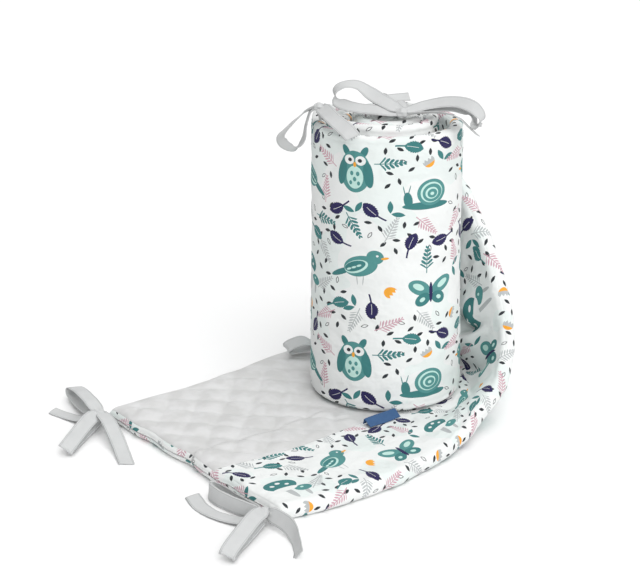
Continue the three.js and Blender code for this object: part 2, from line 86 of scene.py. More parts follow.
# Folds of the whole pad: places along and across the strip, turn in degrees, length, width and depth
CREASES = (
    (444, 242, 121, 22, 6.5, 20.0),
    (381, 238, 105, 30, 7, 9.0),
    (340, 262, 50, 26, 7, 2.6),
    (300, 240, 35, 30, 9, 2.0),
    (500, 262, 75, 34, 9, 3.4),
    (556, 270, 70, 36, 10, 2.8),
)

# Where the strip is bunched up in the bend, its middle stands nearer the roll by this rise
BUNCH = {"from": 385, "to": 620, "across": 228, "width": 44, "rise": 13.0}

# Studio light: suns with the direction they shine from, and the white world around
LAMPS = (
    {"name": "key", "from": (-0.28, -0.96, 0.8), "strength": 1.9, "spread": 65},
    {"name": "top", "from": (0.25, 0.2, 1.0), "strength": 1.8, "spread": 90},
)
WORLD_LIGHT = 0.17
FLOOR_SIZE = 30.0

# The strip before it enters the roll: along it, its border edge, its plain edge, and
# the point that the cloth between them bends toward
LAY_ROWS = (
    (0, (-264, -172, 8.5), (-266, 129, 8.5), (-265, -21.5, 8.5)),
    (50, (-216, -179, 8.5), (-216, 130, 8.5), (-216, -24.5, 8.5)),
    (100, (-167, -182, 8.5), (-166, 131, 8.5), (-166.5, -25.5, 8.5)),
    (150, (-118, -177, 8.5), (-116, 136, 8.5), (-117, -20.5, 8.5)),
    (200, (-66, -166, 10), (-66, 145, 8.5), (-66, -25, 8)),
    (250, (-20, -152, 15), (-16, 153, 8.5), (-16, -30, 7)),
    (300, (24, -133, 27), (34, 159, 8.5), (36, -30, 5)),
    (343, (63, -116, 42), (76, 162, 8.5), (72, 1, 1)),
    (384, (92, -95, 68), (117, 160, 8.5), (103, 26, -2)),
    (438, (105, -74, 113), (168, 158, 10), (108, 50, 8)),
    (480, (109, -52, 148), (198, 152, 9), (114, 54, 25)),
    (514, (112, -30, 175), (216, 137, 16), (120, 70, 52)),
    (548, (115, -6, 200), (214, 132, 33), (125, 87, 86)),
    (582, (113, 18, 224), (197, 139, 52), (131, 104, 107)),
    (634, (98, 62, 258), (155, 141, 63), (123, 119, 137)),
    (690, (60, 92, 284), (99, 115, 43), (88, 116, 155)),
    (746, (14, 99, 302), (46, 106, 29), (34, 106, 160)),
    (797, (-24, 80, 312), (-11, 90, 21), (-17, 88, 165)),
)

# Radius of the strip's middle at each quarter turn of the roll, from its back, turning to its left side
QUARTER_RADII = (72.5, 71, 71, 69, 58, 46, 54, 44, 42, 31, 38, 28, 26, 16, 21, 13, 9.5)


def settings_size(name):
    """A size of the settings, which the user may change, in mm."""
    return round(getattr(bpy.context.scene.bumper, name) / MM, 3)


def smooth(start, end, x):
    """0 before start, 1 after end, and the S curve 3t^2 - 2t^3 between them."""
    t = np.clip((np.asarray(x, float) - start) / (end - start), 0, 1)
    return t * t * (3 - 2 * t)


def through(knots, values, x):
    """Cubic Hermite curve through the values, its slopes weighted from both neighbouring spans."""
    knots = np.asarray(knots, float)
    values = np.asarray(values, float).reshape(len(knots), -1)
    gaps = np.diff(knots)[:, None]
    rises = np.diff(values, axis=0) / gaps
    slopes = np.concatenate(
        [rises[:1], (rises[:-1] * gaps[1:] + rises[1:] * gaps[:-1]) / (gaps[:-1] + gaps[1:]), rises[-1:]]
    )
    x = np.asarray(x, float)
    i = np.clip(np.searchsorted(knots, x) - 1, 0, len(knots) - 2)
    h = (knots[i + 1] - knots[i])[..., None]
    t = (x - knots[i])[..., None] / h
    start = (1 + 2 * t) * (1 - t) ** 2 * values[i] + t * (1 - t) ** 2 * h * slopes[i]
    return start + t * t * (3 - 2 * t) * values[i + 1] + t * t * (t - 1) * h * slopes[i + 1]


def strip_rows():
    """The laid rows, then a row every 12 mm of the roll: a spiral whose radius runs through the quarter-turn
    radii. The edges of the outer turn are drawn in."""
    turns = np.arange(30, 30 * (len(QUARTER_RADII) - 1) + 1) / 30
    radii = through(np.arange(len(QUARTER_RADII)), QUARTER_RADII, turns)[:, 0]
    angles = ROLL_LEFT + (turns - 1) * math.pi / 2
    x, y = radii * np.cos(angles), radii * np.sin(angles)
    run = ROLL_START + np.concatenate([[0], np.cumsum(np.hypot(np.diff(x), np.diff(y)))])
    along = np.arange(ROLL_START, STRIP_LENGTH + 12.1, 12)
    past = along - run[-1]
    ends = []
    for c in (x, y):
        straight_on = c[-1] + past * (c[-1] - c[-2]) / (run[-1] - run[-2])
        ends.append(np.where(past > 0, straight_on, np.interp(along, run, c)))
    outer_turn = 1 - smooth(*OUTER_TURN_END, along)
    top = ROLL_FOOT + STRIP_WIDTH + INNER_END_RISE * smooth(STRIP_LENGTH - 70, STRIP_LENGTH, along)
    border = np.stack([*ends, top - OUTER_TURN_DRAWN["top"] * outer_turn], 1)
    foot = ROLL_FOOT + OUTER_TURN_DRAWN["foot"] * outer_turn
    plain = np.stack([ends[0] * ROLL_FLARE, ends[1] * ROLL_FLARE, foot], 1)
    laid = [np.array([row[k] for row in LAY_ROWS], float) for k in range(4)]
    knots = np.concatenate([laid[0], along])
    bend = np.concatenate([laid[3], (border + plain) / 2])
    return knots, np.concatenate([laid[1], border]), np.concatenate([laid[2], plain]), bend


ROWS = strip_rows()


def creases(along, across):
    """Folds of the whole pad, in mm toward the velvet: for each row a valley, a bell curve across, in a wider
    bulge, and the bunched-up stretch that the bend presses together."""
    total = 0
    for place, side, turn, length, width, depth in CREASES:
        a, c = along - place, across - side
        turn = math.radians(turn)
        u = a * math.cos(turn) + c * math.sin(turn)
        w = -a * math.sin(turn) + c * math.cos(turn)
        reach = np.exp(-((u / length) ** 2))
        valley = np.exp(-((w / width) ** 2))
        bulge = np.exp(-((w / (width * 2.6)) ** 2))
        total = total + depth * reach * (0.35 * bulge - valley)
    rise = BUNCH["rise"] * np.exp(-(((across - BUNCH["across"]) / BUNCH["width"]) ** 2))
    begun = smooth(BUNCH["from"], BUNCH["from"] + 40, along)
    ended = smooth(BUNCH["to"] - 80, BUNCH["to"], along)
    return total + rise * begun * (1 - ended)


def middle(along, across):
    """The strip's middle surface: in each place along it a quadratic Bezier from the plain edge to the border
    edge, pressed flat where the roll stands on it, held up by the floor."""
    along, across = np.broadcast_arrays(np.asarray(along, float), np.asarray(across, float))
    border, plain, bend = (through(ROWS[0], values, along) for values in ROWS[1:])
    t = (across / STRIP_WIDTH)[..., None]
    point = (1 - t) ** 2 * plain + 2 * t * (1 - t) * bend + t * t * border
    free = np.maximum(smooth(88, 122, np.hypot(point[..., 0], point[..., 1])), smooth(410, 460, along))
    point[..., 2] = np.maximum(FREE_HALF + (point[..., 2] - FREE_HALF) * free, FREE_HALF)
    return point


def facing(along, across):
    """The direction the velvet faces: the cross product of the steps across and along the middle surface."""
    along, across = np.broadcast_arrays(np.asarray(along, float), np.asarray(across, float))
    a = np.clip(along, 1, STRIP_LENGTH - 1)
    c = np.clip(across, 1, STRIP_WIDTH - 1)
    normal = np.cross(middle(a, c + 1) - middle(a, c - 1), middle(a + 1, c) - middle(a - 1, c))
    return normal / np.linalg.norm(normal, axis=-1, keepdims=True)


def half_thickness(along):
    """Half the pad's thickness, which falls in an S curve from the laid part to the rolled one."""
    return FREE_HALF + (ROLLED_HALF - FREE_HALF) * smooth(480, 760, along)


def roundness(along, across):
    """The pad's half thickness, falling to nothing along a quarter circle at each of its four edges."""
    half = half_thickness(along)
    side = np.clip(np.minimum(across, STRIP_WIDTH - across) / half, 0, 1)
    end = np.clip(np.minimum(along, STRIP_LENGTH - along) / half, 0, 1)
    return half * np.sqrt(np.clip(1 - (1 - side) ** 2, 0, 1) * np.clip(1 - (1 - end) ** 2, 0, 1))


def surface(along, across, height):
    """Points that far from the middle surface, in metres, above the floor, with the pad's folds. The quilting
    draws the laid part's edges in and out a little, away from the ties."""
    free = smooth(270, 310, along) * (1 - smooth(640, 740, along))
    lift = height + creases(along, across) * free
    off_ties = smooth(16, 45, across) * smooth(16, 45, STRIP_WIDTH - across)
    pulled = 1.8 * ripples(across, 0 * across, 11, 46) * off_ties * (1 - smooth(0, 70, along))
    flat = 1 - smooth(400, 470, along)
    drawn = 2.0 * ripples(along, 0 * along, 12, 48) * smooth(20, 60, along) * flat
    sideways = drawn * ((1 - smooth(0, 55, across)) - (1 - smooth(0, 55, STRIP_WIDTH - across)))
    along, across = along + pulled, across + sideways
    point = middle(along, across) + facing(along, across) * lift[..., None]
    point[..., 2] = np.maximum(point[..., 2], FLOOR_GAP)
    return point * MM


def ripples(along, across, seed, size, count=14):
    """Seeded soft noise, mostly from -1 to 1: a sum of sine waves in all directions, about size mm long."""
    draw = np.random.default_rng(seed)
    total = 0
    for _ in range(count):
        angle, phase = draw.uniform(0, 2 * math.pi, 2)
        pitch = size * draw.uniform(0.7, 1.5)
        ahead = along * math.cos(angle) + across * math.sin(angle)
        total = total + np.sin(ahead * 2 * math.pi / pitch + phase)
    return total / math.sqrt(count) / 1.5


def print_relief(along, across):
    """How far the printed cloth stands off the pad's plain form: soft waves, puckers that run in from each
    seam, and the groove of its stitches, a bell curve across."""
    edge = np.minimum(across, STRIP_WIDTH - across)
    waves = 0.8 * ripples(along, across * 0.6, 4, 70) + 0.4 * ripples(along * 0.7, across, 5, 30)
    gathers = np.sin(along / 2.6 + 2.2 * ripples(along, across * 0, 6, 60))
    pucker = 0.35 * gathers * smooth(6, 13, edge) * (1 - smooth(16, 40, edge))
    groove = 1.2 * np.exp(-(((edge - 7.5) / 1.2) ** 2))
    return waves * smooth(0, 16, edge) + pucker - groove


def quilt_relief(along, across):
    """Puffed diamonds between crossing stitch lines: a low power of the product of two sines, wandering a
    little, flat where the roll presses."""
    wander = 5 * ripples(along, across, 7, 120)
    pitch = settings_size("quilt_pitch")
    a = np.abs(np.sin(math.pi * (along + across + wander) / pitch))
    b = np.abs(np.sin(math.pi * (along - across + 0.6 * wander) / pitch))
    puff = (a * b) ** 0.27 * (QUILT_PUFF + 0.8 * ripples(along, across, 8, 55))
    point = middle(along, across)
    free = smooth(80, 104, np.hypot(point[..., 0], point[..., 1]))
    free = np.maximum(free, smooth(410, 440, along)) * (1 - smooth(700, 800, along))
    nap = 0.15 * ripples(along, across, 9, 11)
    off_rims = smooth(0, 13, across - 4) * smooth(0, 13, BAND_SEAM - across)
    return (puff - STITCH_DEPTH) * free * off_rims + nap


def spread(start, end, step):
    """Even places from start to end, about a step apart."""
    return np.linspace(start, end, max(int(round((end - start) / step)), 1) + 1)


def grid_faces(rows, columns, closed=False):
    """Corner numbers of the quads between each pair of rows; closed joins the last column to the first."""
    r = np.arange(rows - 1)[:, None]
    c = np.arange(columns if closed else columns - 1)[None, :]
    right = (c + 1) % columns
    corners = [r * columns + c, r * columns + right, (r + 1) * columns + right, (r + 1) * columns + c]
    return np.stack([np.broadcast_to(k, (rows - 1, c.size)) for k in corners], -1).reshape(-1, 4)


def make_object(name, points, faces, uv, material, caps=()):
    """A smooth mesh object at the origin; uv holds a pair of millimetre values for each point."""
    old = bpy.data.objects.get(name)
    if old:
        bpy.data.objects.remove(old, do_unlink=True)
    mesh = bpy.data.meshes.new(name)
    mesh.from_pydata(points.reshape(-1, 3).tolist(), [], faces.tolist() + [list(cap) for cap in caps])
    layer = mesh.uv_layers.new(name="cloth")
    corner = np.empty(len(mesh.loops), np.int32)
    mesh.loops.foreach_get("vertex_index", corner)
    layer.data.foreach_set("uv", (uv.reshape(-1, 2)[corner] * MM).ravel())
    mesh.polygons.foreach_set("use_smooth", np.ones(len(mesh.polygons), bool))
    mesh.update()
    mesh.validate()
    obj = bpy.data.objects.new(name, mesh)
    bpy.context.scene.collection.objects.link(obj)
    obj.data.materials.append(material)
    return obj


class Nodes:
    """Adds shader nodes to a material. Values passed in are numbers, colours or other nodes' outputs.
    Places on the cloth are pairs of plain numbers, because Cycles works long chains of those in less room."""

    def __init__(self, name, roughness=0.9, sheen=0.0):
        old = bpy.data.materials.get(name)
        if old:
            bpy.data.materials.remove(old)
        self.material = bpy.data.materials.new(name)
        self.material.use_nodes = True
        self.tree = self.material.node_tree
        self.shader = self.tree.nodes["Principled BSDF"]
        self.shader.inputs["Roughness"].default_value = roughness
        self.shader.inputs["Specular IOR Level"].default_value = 0.25
        self.shader.inputs["Sheen Weight"].default_value = sheen
        self.shader.inputs["Sheen Roughness"].default_value = 0.45
        self.uv = self.add("ShaderNodeUVMap", {}, uv_map="cloth")

    def add(self, kind, inputs, **settings):
        node = self.tree.nodes.new(kind)
        for name, value in settings.items():
            setattr(node, name, value)
        for slot, value in inputs.items():
            if isinstance(value, bpy.types.NodeSocket):
                self.tree.links.new(value, node.inputs[slot])
            else:
                node.inputs[slot].default_value = value
        return node.outputs[0]

    def math(self, operation, *values):
        return self.add("ShaderNodeMath", dict(enumerate(values)), operation=operation)

    def product(self, *values):
        total = values[0]
        for value in values[1:]:
            total = self.math("MULTIPLY", total, value)
        return total

    def either(self, *values):
        total = values[0]
        for value in values[1:]:
            total = self.math("MAXIMUM", total, value)
        return total

    def inverse(self, value):
        return self.math("SUBTRACT", 1.0, value)

    def below(self, value, limit):
        return self.math("LESS_THAN", value, limit)

    def between(self, value, low, high):
        return self.product(self.math("GREATER_THAN", value, low), self.math("LESS_THAN", value, high))

    def blend(self, value, slope, start):
        """value times slope, plus start."""
        return self.math("MULTIPLY_ADD", value, slope, start)

    def turned(self, point, place, size, turn):
        """The point as seen from a place, turned by that many degrees, in half sizes."""
        c, s = math.cos(math.radians(turn)), math.sin(math.radians(turn))
        x, y = point
        u = self.blend(x, c / size[0], self.blend(y, s / size[0], -(place[0] * c + place[1] * s) / size[0]))
        v = self.blend(x, -s / size[1], self.blend(y, c / size[1], (place[0] * s - place[1] * c) / size[1]))
        return u, v

    def disc(self, point, place, size, turn=0.0):
        """1 inside the ellipse at that place, and 0 outside it."""
        u, v = self.turned(point, place, size, turn)
        return self.below(self.blend(u, u, self.product(v, v)), 1.0)

    def petal(self, point, place, size, turn):
        """1 inside a leaf shape pointed at both ends, whose half width is a parabola along it."""
        u, v = self.turned(point, place, size, turn)
        return self.below(self.blend(u, u, self.math("ABSOLUTE", v)), 1.0)

    def paint(self, under, colour, mask):
        """The colour laid over the one under it, by the mask's share."""
        node = self.tree.nodes.new("ShaderNodeMix")
        node.data_type = "RGBA"
        for slot, value in ((0, mask), (6, under), (7, colour)):
            if isinstance(value, bpy.types.NodeSocket):
                self.tree.links.new(value, node.inputs[slot])
            else:
                node.inputs[slot].default_value = value
        return node.outputs[2]

    def noise(self, pitch, detail):
        """Noise on the cloth, about pitch mm from blob to blob."""
        return self.add("ShaderNodeTexNoise", {"Vector": self.uv, "Scale": 1000 / pitch, "Detail": detail})

    def bump(self, height, distance, strength, under=None):
        """A normal bent by the height, whose full step is that many mm, over an earlier bend."""
        inputs = {"Height": height, "Distance": distance * MM, "Strength": strength}
        if under:
            inputs["Normal"] = under
        return self.add("ShaderNodeBump", inputs)

    def cloth_point(self):
        """The cloth's own place in mm: along it and across it."""
        parts = self.add("ShaderNodeSeparateXYZ", {0: self.uv}).node.outputs
        return self.product(parts[0], 1000), self.product(parts[1], 1000)

    def finish(self, colour, normal=None):
        """The material with that colour and, where given, that normal."""
        for name, value in (("Base Color", colour), ("Normal", normal)):
            if isinstance(value, bpy.types.NodeSocket):
                self.tree.links.new(value, self.shader.inputs[name])
            elif value is not None:
                self.shader.inputs[name].default_value = value
        return self.material


def colour(code):
    """A colour from its hex code, as Blender's linear values."""
    parts = [int(code[k : k + 2], 16) / 255 for k in (0, 2, 4)]
    return (*[p / 12.92 if p <= 0.04045 else ((p + 0.055) / 1.055) ** 2.4 for p in parts], 1)


def ink(name):
    """A colour of the settings, which the user may change."""
    return tuple(getattr(bpy.context.scene.bumper, name))


# The print repeats in both directions. Its large motifs, and the room that each keeps clear, in mm
REPEAT = 208.0
CELLS = 6
CELL = REPEAT / CELLS
SPOTS = (
    {"motif": "bird", "at": (34, 42), "room": (30, 26), "flip": 1},
    {"motif": "owl", "at": (104, 62), "room": (23, 34), "flip": 1},
    {"motif": "snail", "at": (172, 34), "room": (31, 24), "flip": 1},
    {"motif": "mushroom", "at": (38, 142), "room": (24, 30), "flip": 1},
    {"motif": "bird", "at": (112, 168), "room": (30, 26), "flip": -1},
    {"motif": "moth", "at": (178, 136), "room": (27, 25), "flip": 1},
)

# Each motif is painted from the back forward, in ovals: colour, middle, half sizes and turn in degrees. The
# owl and the moth are alike on both sides, and have only their left ovals here
ALIKE_ON_BOTH_SIDES = ("owl", "moth")
MOTIFS = {
    "bird": (
        ("deep_teal", (21, -11), (13, 3.0), -28), ("grey", (-1, -17), (0.45, 6), 4),
        ("grey", (5, -17), (0.45, 6), -6), ("teal", (2, -2), (17, 11), -20),
        ("teal", (-12, 9), (8, 7.4), 20), ("orange", (-21, 8), (3.6, 1.3), -8),
        ("mint", (6, -3), (12.5, 6.6), -26), ("deep_teal", (7, -2.6), (11.2, 5.2), -26),
        ("mint", (3, -1.5), (2.6, 1.1), -26), ("mint", (8, -4), (2.6, 1.1), -26),
        ("mint", (13, -6.5), (2.6, 1.1), -26), ("cream", (-14, 10.5), (1.2, 1.2), 0),
    ),
    "owl": (
        ("deep_teal", (-9, 18), (3.2, 6.5), 26), ("teal", (0, -3), (15.5, 22), 0),
        ("deep_teal", (-13, -5), (4.6, 14), -8), ("mint", (0, -9), (8.4, 12), 0),
        ("teal", (-3, -5), (1.7, 2.4), 0), ("teal", (0, -11), (1.7, 2.4), 0),
        ("teal", (-4, -15), (1.5, 2.2), 0), ("cream", (-5.6, 9), (5, 5), 0),
        ("black", (-5, 9), (2, 2), 0), ("orange", (0, 4.5), (1.5, 2.8), 0),
    ),
    "snail": (
        ("deep_teal", (-22, 5), (0.5, 6.5), 12), ("deep_teal", (-17.5, 6), (0.5, 6), -14),
        ("deep_teal", (-18.5, -4), (4.2, 8.5), 8), ("deep_teal", (0, -11.5), (24, 4.2), -2),
        ("teal", (5, 2), (15, 14), 0), ("mint", (5, 2), (11.6, 10.8), 0),
        ("teal", (5.6, 1.4), (10.2, 9.4), 0), ("mint", (5, 1.2), (6.8, 6.2), 0),
        ("teal", (5.5, 0.8), (5.2, 4.7), 0), ("mint", (5.3, 0.6), (2.0, 1.8), 0),
    ),
    "mushroom": (
        ("grey", (-3, -9), (3.4, 14), 3), ("grey", (12, -15), (2.0, 8), -5),
        ("deep_teal", (-3, 7), (17, 11), 4), ("teal", (12.5, -7), (8.6, 5.6), -6),
        ("cream", (-3, -1.5), (13.5, 4.0), 4), ("cream", (-10, 9), (2.4, 1.8), 0),
        ("cream", (-2, 12.5), (2.6, 1.9), 0), ("cream", (5, 7.5), (2.1, 1.6), 0),
        ("mint", (12, -5.5), (1.7, 1.3), 0),
    ),
    "moth": (
        ("teal", (-12, 5.5), (12.5, 7.5), -32), ("deep_teal", (-8.5, -8), (8.5, 6.5), 35),
        ("mint", (-13, 6.5), (6.4, 3.2), -32), ("mint", (-9, -8), (3.0, 2.2), 35),
        ("navy", (0, -1), (1.9, 11), 0),
    ),
}


def from_spot(n, point, spot):
    """How far the point is from the nearest repeat of a spot, in mm."""
    half = REPEAT / 2
    away = [n.math("SUBTRACT", value, at) for value, at in zip(point, spot["at"])]
    return [n.math("WRAP", value, half, -half) for value in away]


def chance(n, column, row, seed):
    """A number from 0 to 1 for each cell: the last part of a large multiple of a sine."""
    wave = n.math("SINE", n.blend(column, 12.9898 + seed, n.blend(row, 78.233 - seed, 3.1 * seed)))
    return n.math("FRACT", n.math("MULTIPLY", wave, 437.585))


def lattice(n, point, offset, seed, margin):
    """Cells of a square lattice: the place in the cell, turned at random, two random numbers for it, and
    1 where its middle stays that margin out of the large motifs' room."""
    scaled = [n.blend(value, 1 / CELL, shift / CELL) for value, shift in zip(point, offset)]
    cell = [n.math("FLOOR", value) for value in scaled]
    clear = 1.0
    centre = [n.blend(value, CELL, CELL / 2 - shift) for value, shift in zip(cell, offset)]
    for spot in SPOTS:
        away = from_spot(n, centre, spot)
        u, v = [n.math("DIVIDE", value, room + margin) for value, room in zip(away, spot["room"])]
        apart = n.math("GREATER_THAN", n.blend(u, u, n.product(v, v)), 1.0)
        clear = apart if clear == 1.0 else n.product(clear, apart)
    column, row = [n.math("FLOORED_MODULO", value, float(CELLS)) for value in cell]
    turn = n.math("MULTIPLY", chance(n, column, row, seed), 2 * math.pi)
    c, s = n.math("COSINE", turn), n.math("SINE", turn)
    x, y = [n.blend(n.math("FRACT", value), CELL, -CELL / 2) for value in scaled]
    local = (n.blend(x, c, n.product(y, s)), n.math("SUBTRACT", n.product(y, c), n.product(x, s)))
    return local, chance(n, column, row, seed + 0.7), chance(n, column, row, seed + 1.9), clear


def toothed_leaf(n, local):
    """Blade and stalk of a leaf lying along x, and its pale midrib. The blade's half width is
    6.4 (1 - x^2)^0.75, cut by small teeth."""
    x, y = local
    along = n.blend(x, 1 / 9.5, -3 / 9.5)
    bow = n.math("POWER", n.math("MAXIMUM", n.inverse(n.product(along, along)), 0.0), 0.75)
    teeth = n.blend(n.math("FRACT", n.blend(x, -0.42, 9.0)), 0.17, 0.86)
    away = n.math("ABSOLUTE", n.blend(n.product(x, x), 0.008, y))
    blade = n.product(n.below(away, n.product(bow, teeth, 6.4)), n.between(along, -1.0, 1.0))
    stalk = n.product(n.below(away, 0.85), n.between(x, -15.0, -5.0))
    rib = n.product(n.below(away, 0.2), n.between(x, -4.0, 7.5))
    return n.either(blade, stalk), rib


def fern(n, local, pitch, fat):
    """A sprig along x: slanting leaflets on both sides of a thin stalk, shorter toward its tip."""
    x, y = local
    away = n.math("ABSOLUTE", y)
    slanted = n.blend(away, -0.75, x)
    line = n.math("SUBTRACT", n.math("FLOORED_MODULO", slanted, pitch), n.product(pitch, 0.5))
    share = n.math("DIVIDE", away, n.blend(x, -0.28, 5.6))
    width = n.math("MINIMUM", n.product(share, n.inverse(share), fat), n.product(pitch, 0.36))
    leaflets = n.product(n.below(n.math("ABSOLUTE", line), width), n.between(slanted, -12.0, 12.5))
    stalk = n.product(n.below(away, 0.5), n.between(x, -16.5, 12.0))
    return n.either(leaflets, stalk)


def tulip(n, local):
    """A cup with a jagged top, and the cup's base."""
    x, y = local
    jag = n.blend(n.math("PINGPONG", n.math("ADD", x, 20.0), 1.9), 1.5, 0.6)
    cup = n.product(n.disc(local, (0, 0), (6.2, 6.6)), n.below(y, jag))
    return cup, n.product(cup, n.below(y, -2.6))


def printed_colour(n, point):
    """The woodland print: leaves, sprigs, cups and leaflets on offset lattices, and the large motifs."""
    tint = n.product(n.math("GREATER_THAN", n.noise(62, 1.0), 0.55), 0.35)
    tone = n.paint(ink("cream"), ink("wash"), tint)
    for offset, seed in (((0, CELL / 2), 3), ((CELL / 2, 0), 4)):
        local, first, second, clear = lattice(n, point, offset, seed, 1)
        leaflets = n.petal(local, (1, 6.8), (3.9, 1.7), 20)
        for place, turn in (((-7, -3), 75), ((6.6, -3.6), -40)):
            leaflets = n.either(leaflets, n.petal(local, place, (3.9, 1.7), turn))
        hollow = n.product(n.petal(local, (6.6, -3.6), (2.9, 1.0), -40), n.below(first, 0.7))
        leaflets = n.product(leaflets, n.inverse(hollow), clear)
        chosen = n.below(second, 0.2)
        leaflets = n.product(leaflets, n.below(second, 0.8))
        tone = n.paint(tone, ink("black"), n.product(leaflets, n.inverse(chosen)))
        sprout = n.petal(local, (-5.5, 3), (6.6, 2.6), -40)
        sprout = n.either(sprout, n.petal(local, (5.5, 3), (6.6, 2.6), 40))
        tone = n.paint(tone, ink("deep_teal"), n.product(sprout, clear, chosen))
    local, first, second, clear = lattice(n, point, (CELL / 2, CELL / 2), 2, 5)
    thick = n.below(first, 0.27)
    sprig = fern(n, local, n.blend(thick, 1.2, 3.4), n.blend(thick, 4.4, 4.4))
    is_cup = n.math("GREATER_THAN", first, 0.74)
    shade = n.paint(ink("pink"), ink("grey"), n.below(second, 0.33))
    shade = n.paint(shade, ink("deep_teal"), thick)
    tone = n.paint(tone, shade, n.product(sprig, clear, n.inverse(is_cup)))
    cup, base = tulip(n, local)
    shade = n.paint(ink("orange"), ink("grey"), n.below(second, 0.4))
    tone = n.paint(tone, shade, n.product(cup, clear, is_cup))
    tone = n.paint(tone, ink("orange"), n.product(base, clear, is_cup))
    local, first, second, clear = lattice(n, point, (0, 0), 1, 5)
    leaf, rib = toothed_leaf(n, local)
    shade = n.paint(ink("navy"), ink("deep_teal"), n.below(first, 0.17))
    tone = n.paint(tone, shade, n.product(leaf, clear))
    tone = n.paint(tone, ink("cream"), n.product(rib, clear))
    for spot in SPOTS:
        x, y = from_spot(n, point, spot)
        place = (n.product(x, spot["flip"]), y)
        for shade, at, size, turn in MOTIFS[spot["motif"]]:
            tone = n.paint(tone, ink(shade), n.disc(place, at, size, turn))
            if at[0] and spot["motif"] in ALIKE_ON_BOTH_SIDES:
                tone = n.paint(tone, ink(shade), n.disc(place, (-at[0], at[1]), size, -turn))
    return tone


def weave(n, point, pitch):
    """Threads crossing at right angles: the product of two fine waves."""
    warp, weft = [n.math("SINE", n.product(value, 2 * math.pi / pitch)) for value in point]
    return n.product(warp, weft)


def printed_material():
    """Printed cotton, softly crumpled, with a fine weave."""
    n = Nodes("printed_cotton", roughness=0.86, sheen=0.08)
    point = n.cloth_point()
    tone = printed_colour(n, point)
    crumple = n.bump(n.noise(30, 3.0), 8.0, 0.7)
    return n.finish(tone, n.bump(weave(n, point, 0.7), 0.06, 0.35, crumple))


def velvet_material():
    """Grey velvet with a fine nap, its brushed patches in two tones: painted shade where the pile is brushed
    away from the light, painted sheen where it is brushed toward it.
    """
    n = Nodes("grey_velvet", roughness=0.8, sheen=0.35)
    brushed, fibre = n.noise(22, 2.0), n.noise(0.6, 2.0)
    share = n.add("ShaderNodeMapRange", {"Value": brushed, "From Min": 0.42, "From Max": 0.60})
    # Painted sheen and shade: the lighter tone where the pile is brushed toward the light, the darker one
    # where it is brushed away from it
    tone = n.paint(ink("velvet"), ink("velvet_painted_sheen"), share)
    tone = n.paint(tone, colour("c8c8c8"), n.math("MULTIPLY", fibre, 0.25))
    return n.finish(tone, n.bump(fibre, 0.35, 0.4, n.bump(brushed, 3.0, 0.4)))


def ribbon_material():
    """Woven ribbon with a darker thread inside each rim."""
    n = Nodes("ribbon", roughness=0.75, sheen=0.12)
    point = n.cloth_point()
    stitch = n.between(n.math("ABSOLUTE", point[1]), *RIBBON_STITCH)
    tone = n.paint(ink("ribbon"), colour("d3d4d4"), n.noise(12, 2.0))
    tone = n.paint(tone, colour("acafaf"), n.product(stitch, 0.7))
    threads = n.bump(weave(n, point, 0.6), 0.05, 0.4)
    return n.finish(tone, n.bump(n.noise(8, 2.0), 0.8, 0.3, threads))


def tag_material():
    """Plain woven tag."""
    n = Nodes("blue_tag", roughness=0.7, sheen=0.1)
    point = n.cloth_point()
    tone = n.paint(ink("tag"), colour("426590"), n.noise(5, 2.0))
    return n.finish(tone, n.bump(weave(n, point, 0.5), 0.05, 0.5))


def floor_material():
    """Plain white floor."""
    return Nodes("floor", roughness=0.95).finish(colour("ffffff"))


def cloth_run(distance, length, half):
    """The cloth's own length up to that distance: a quarter circle over the first rim, flat, and another."""
    near = np.minimum(distance, length - distance)
    rim = half * np.arccos(np.clip(1 - near / half, 0, 1))
    run = np.where(near < half, rim, near + half * (math.pi / 2 - 1))
    return np.where(distance < length / 2, run, length + half * (math.pi - 2) - run)


def cloth_uv(along, across, velvet_side):
    """The print runs up the outer face, over the border edge and on down the velvet side."""
    along, across = np.broadcast_arrays(along, across)
    half = half_thickness(along)
    over = cloth_run(across, STRIP_WIDTH, half)
    width = STRIP_WIDTH + half * (math.pi - 2)
    turned = np.where(across > STRIP_WIDTH / 2, 2 * width - over, -over)
    return np.stack([cloth_run(along, STRIP_LENGTH, half), np.where(velvet_side, turned, over)], -1)


def stand_for(obj, node):
    """The piece stands for that node, whose part is hidden, and stays on the body root."""
    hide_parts(node)
    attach(obj, "root")


def padded_strip():
    """Rings round the pad, one for each place along it: up its velvet side and back down its print."""
    end_steps = EDGE_STEPS[:7]
    laid, bend, rolled = spread(8.5, 300, 6), spread(303, 1330, 3.2), spread(1336, 1791, 6)
    along = np.concatenate([end_steps, laid, bend, rolled, STRIP_LENGTH - end_steps[::-1]])
    places = np.concatenate([EDGE_STEPS, spread(21.5, 278.5, 3.8), STRIP_WIDTH - EDGE_STEPS[::-1]])
    across = np.concatenate([places[1:-1], places[::-1]])
    side = np.concatenate([np.ones(len(places) - 2), -np.ones(len(places))])
    a, c = np.meshgrid(along, across, indexing="ij")
    in_from_rim = np.minimum(np.minimum(c, STRIP_WIDTH - c), np.minimum(a, STRIP_LENGTH - a))
    sunk = SUNK * smooth(SKIN_EDGE, 6.0, in_from_rim)
    shape = np.maximum(roundness(a, c), 0.15)
    printed = -shape - print_relief(a, c) * smooth(0, 10, a)
    height = np.where(side > 0, np.maximum(shape - sunk, 0.1), printed)
    points = surface(a, c, height)
    uv = cloth_uv(a, c, side > 0)
    count = len(across)
    half = count // 2
    cap = [(count - 1, 0, count - 2), (half - 2, half - 1, half)]
    cap += [(k, k + 1, count - 3 - k, count - 2 - k) for k in range(half - 2)]
    last = (len(along) - 1) * count
    caps = [face[::-1] for face in cap] + [[corner + last for corner in face] for face in cap]
    faces = grid_faces(len(along), count, closed=True)[:, ::-1]
    obj = make_object("crib_pad", points, faces, uv, printed_material(), caps)
    stand_for(obj, "padded_strip")


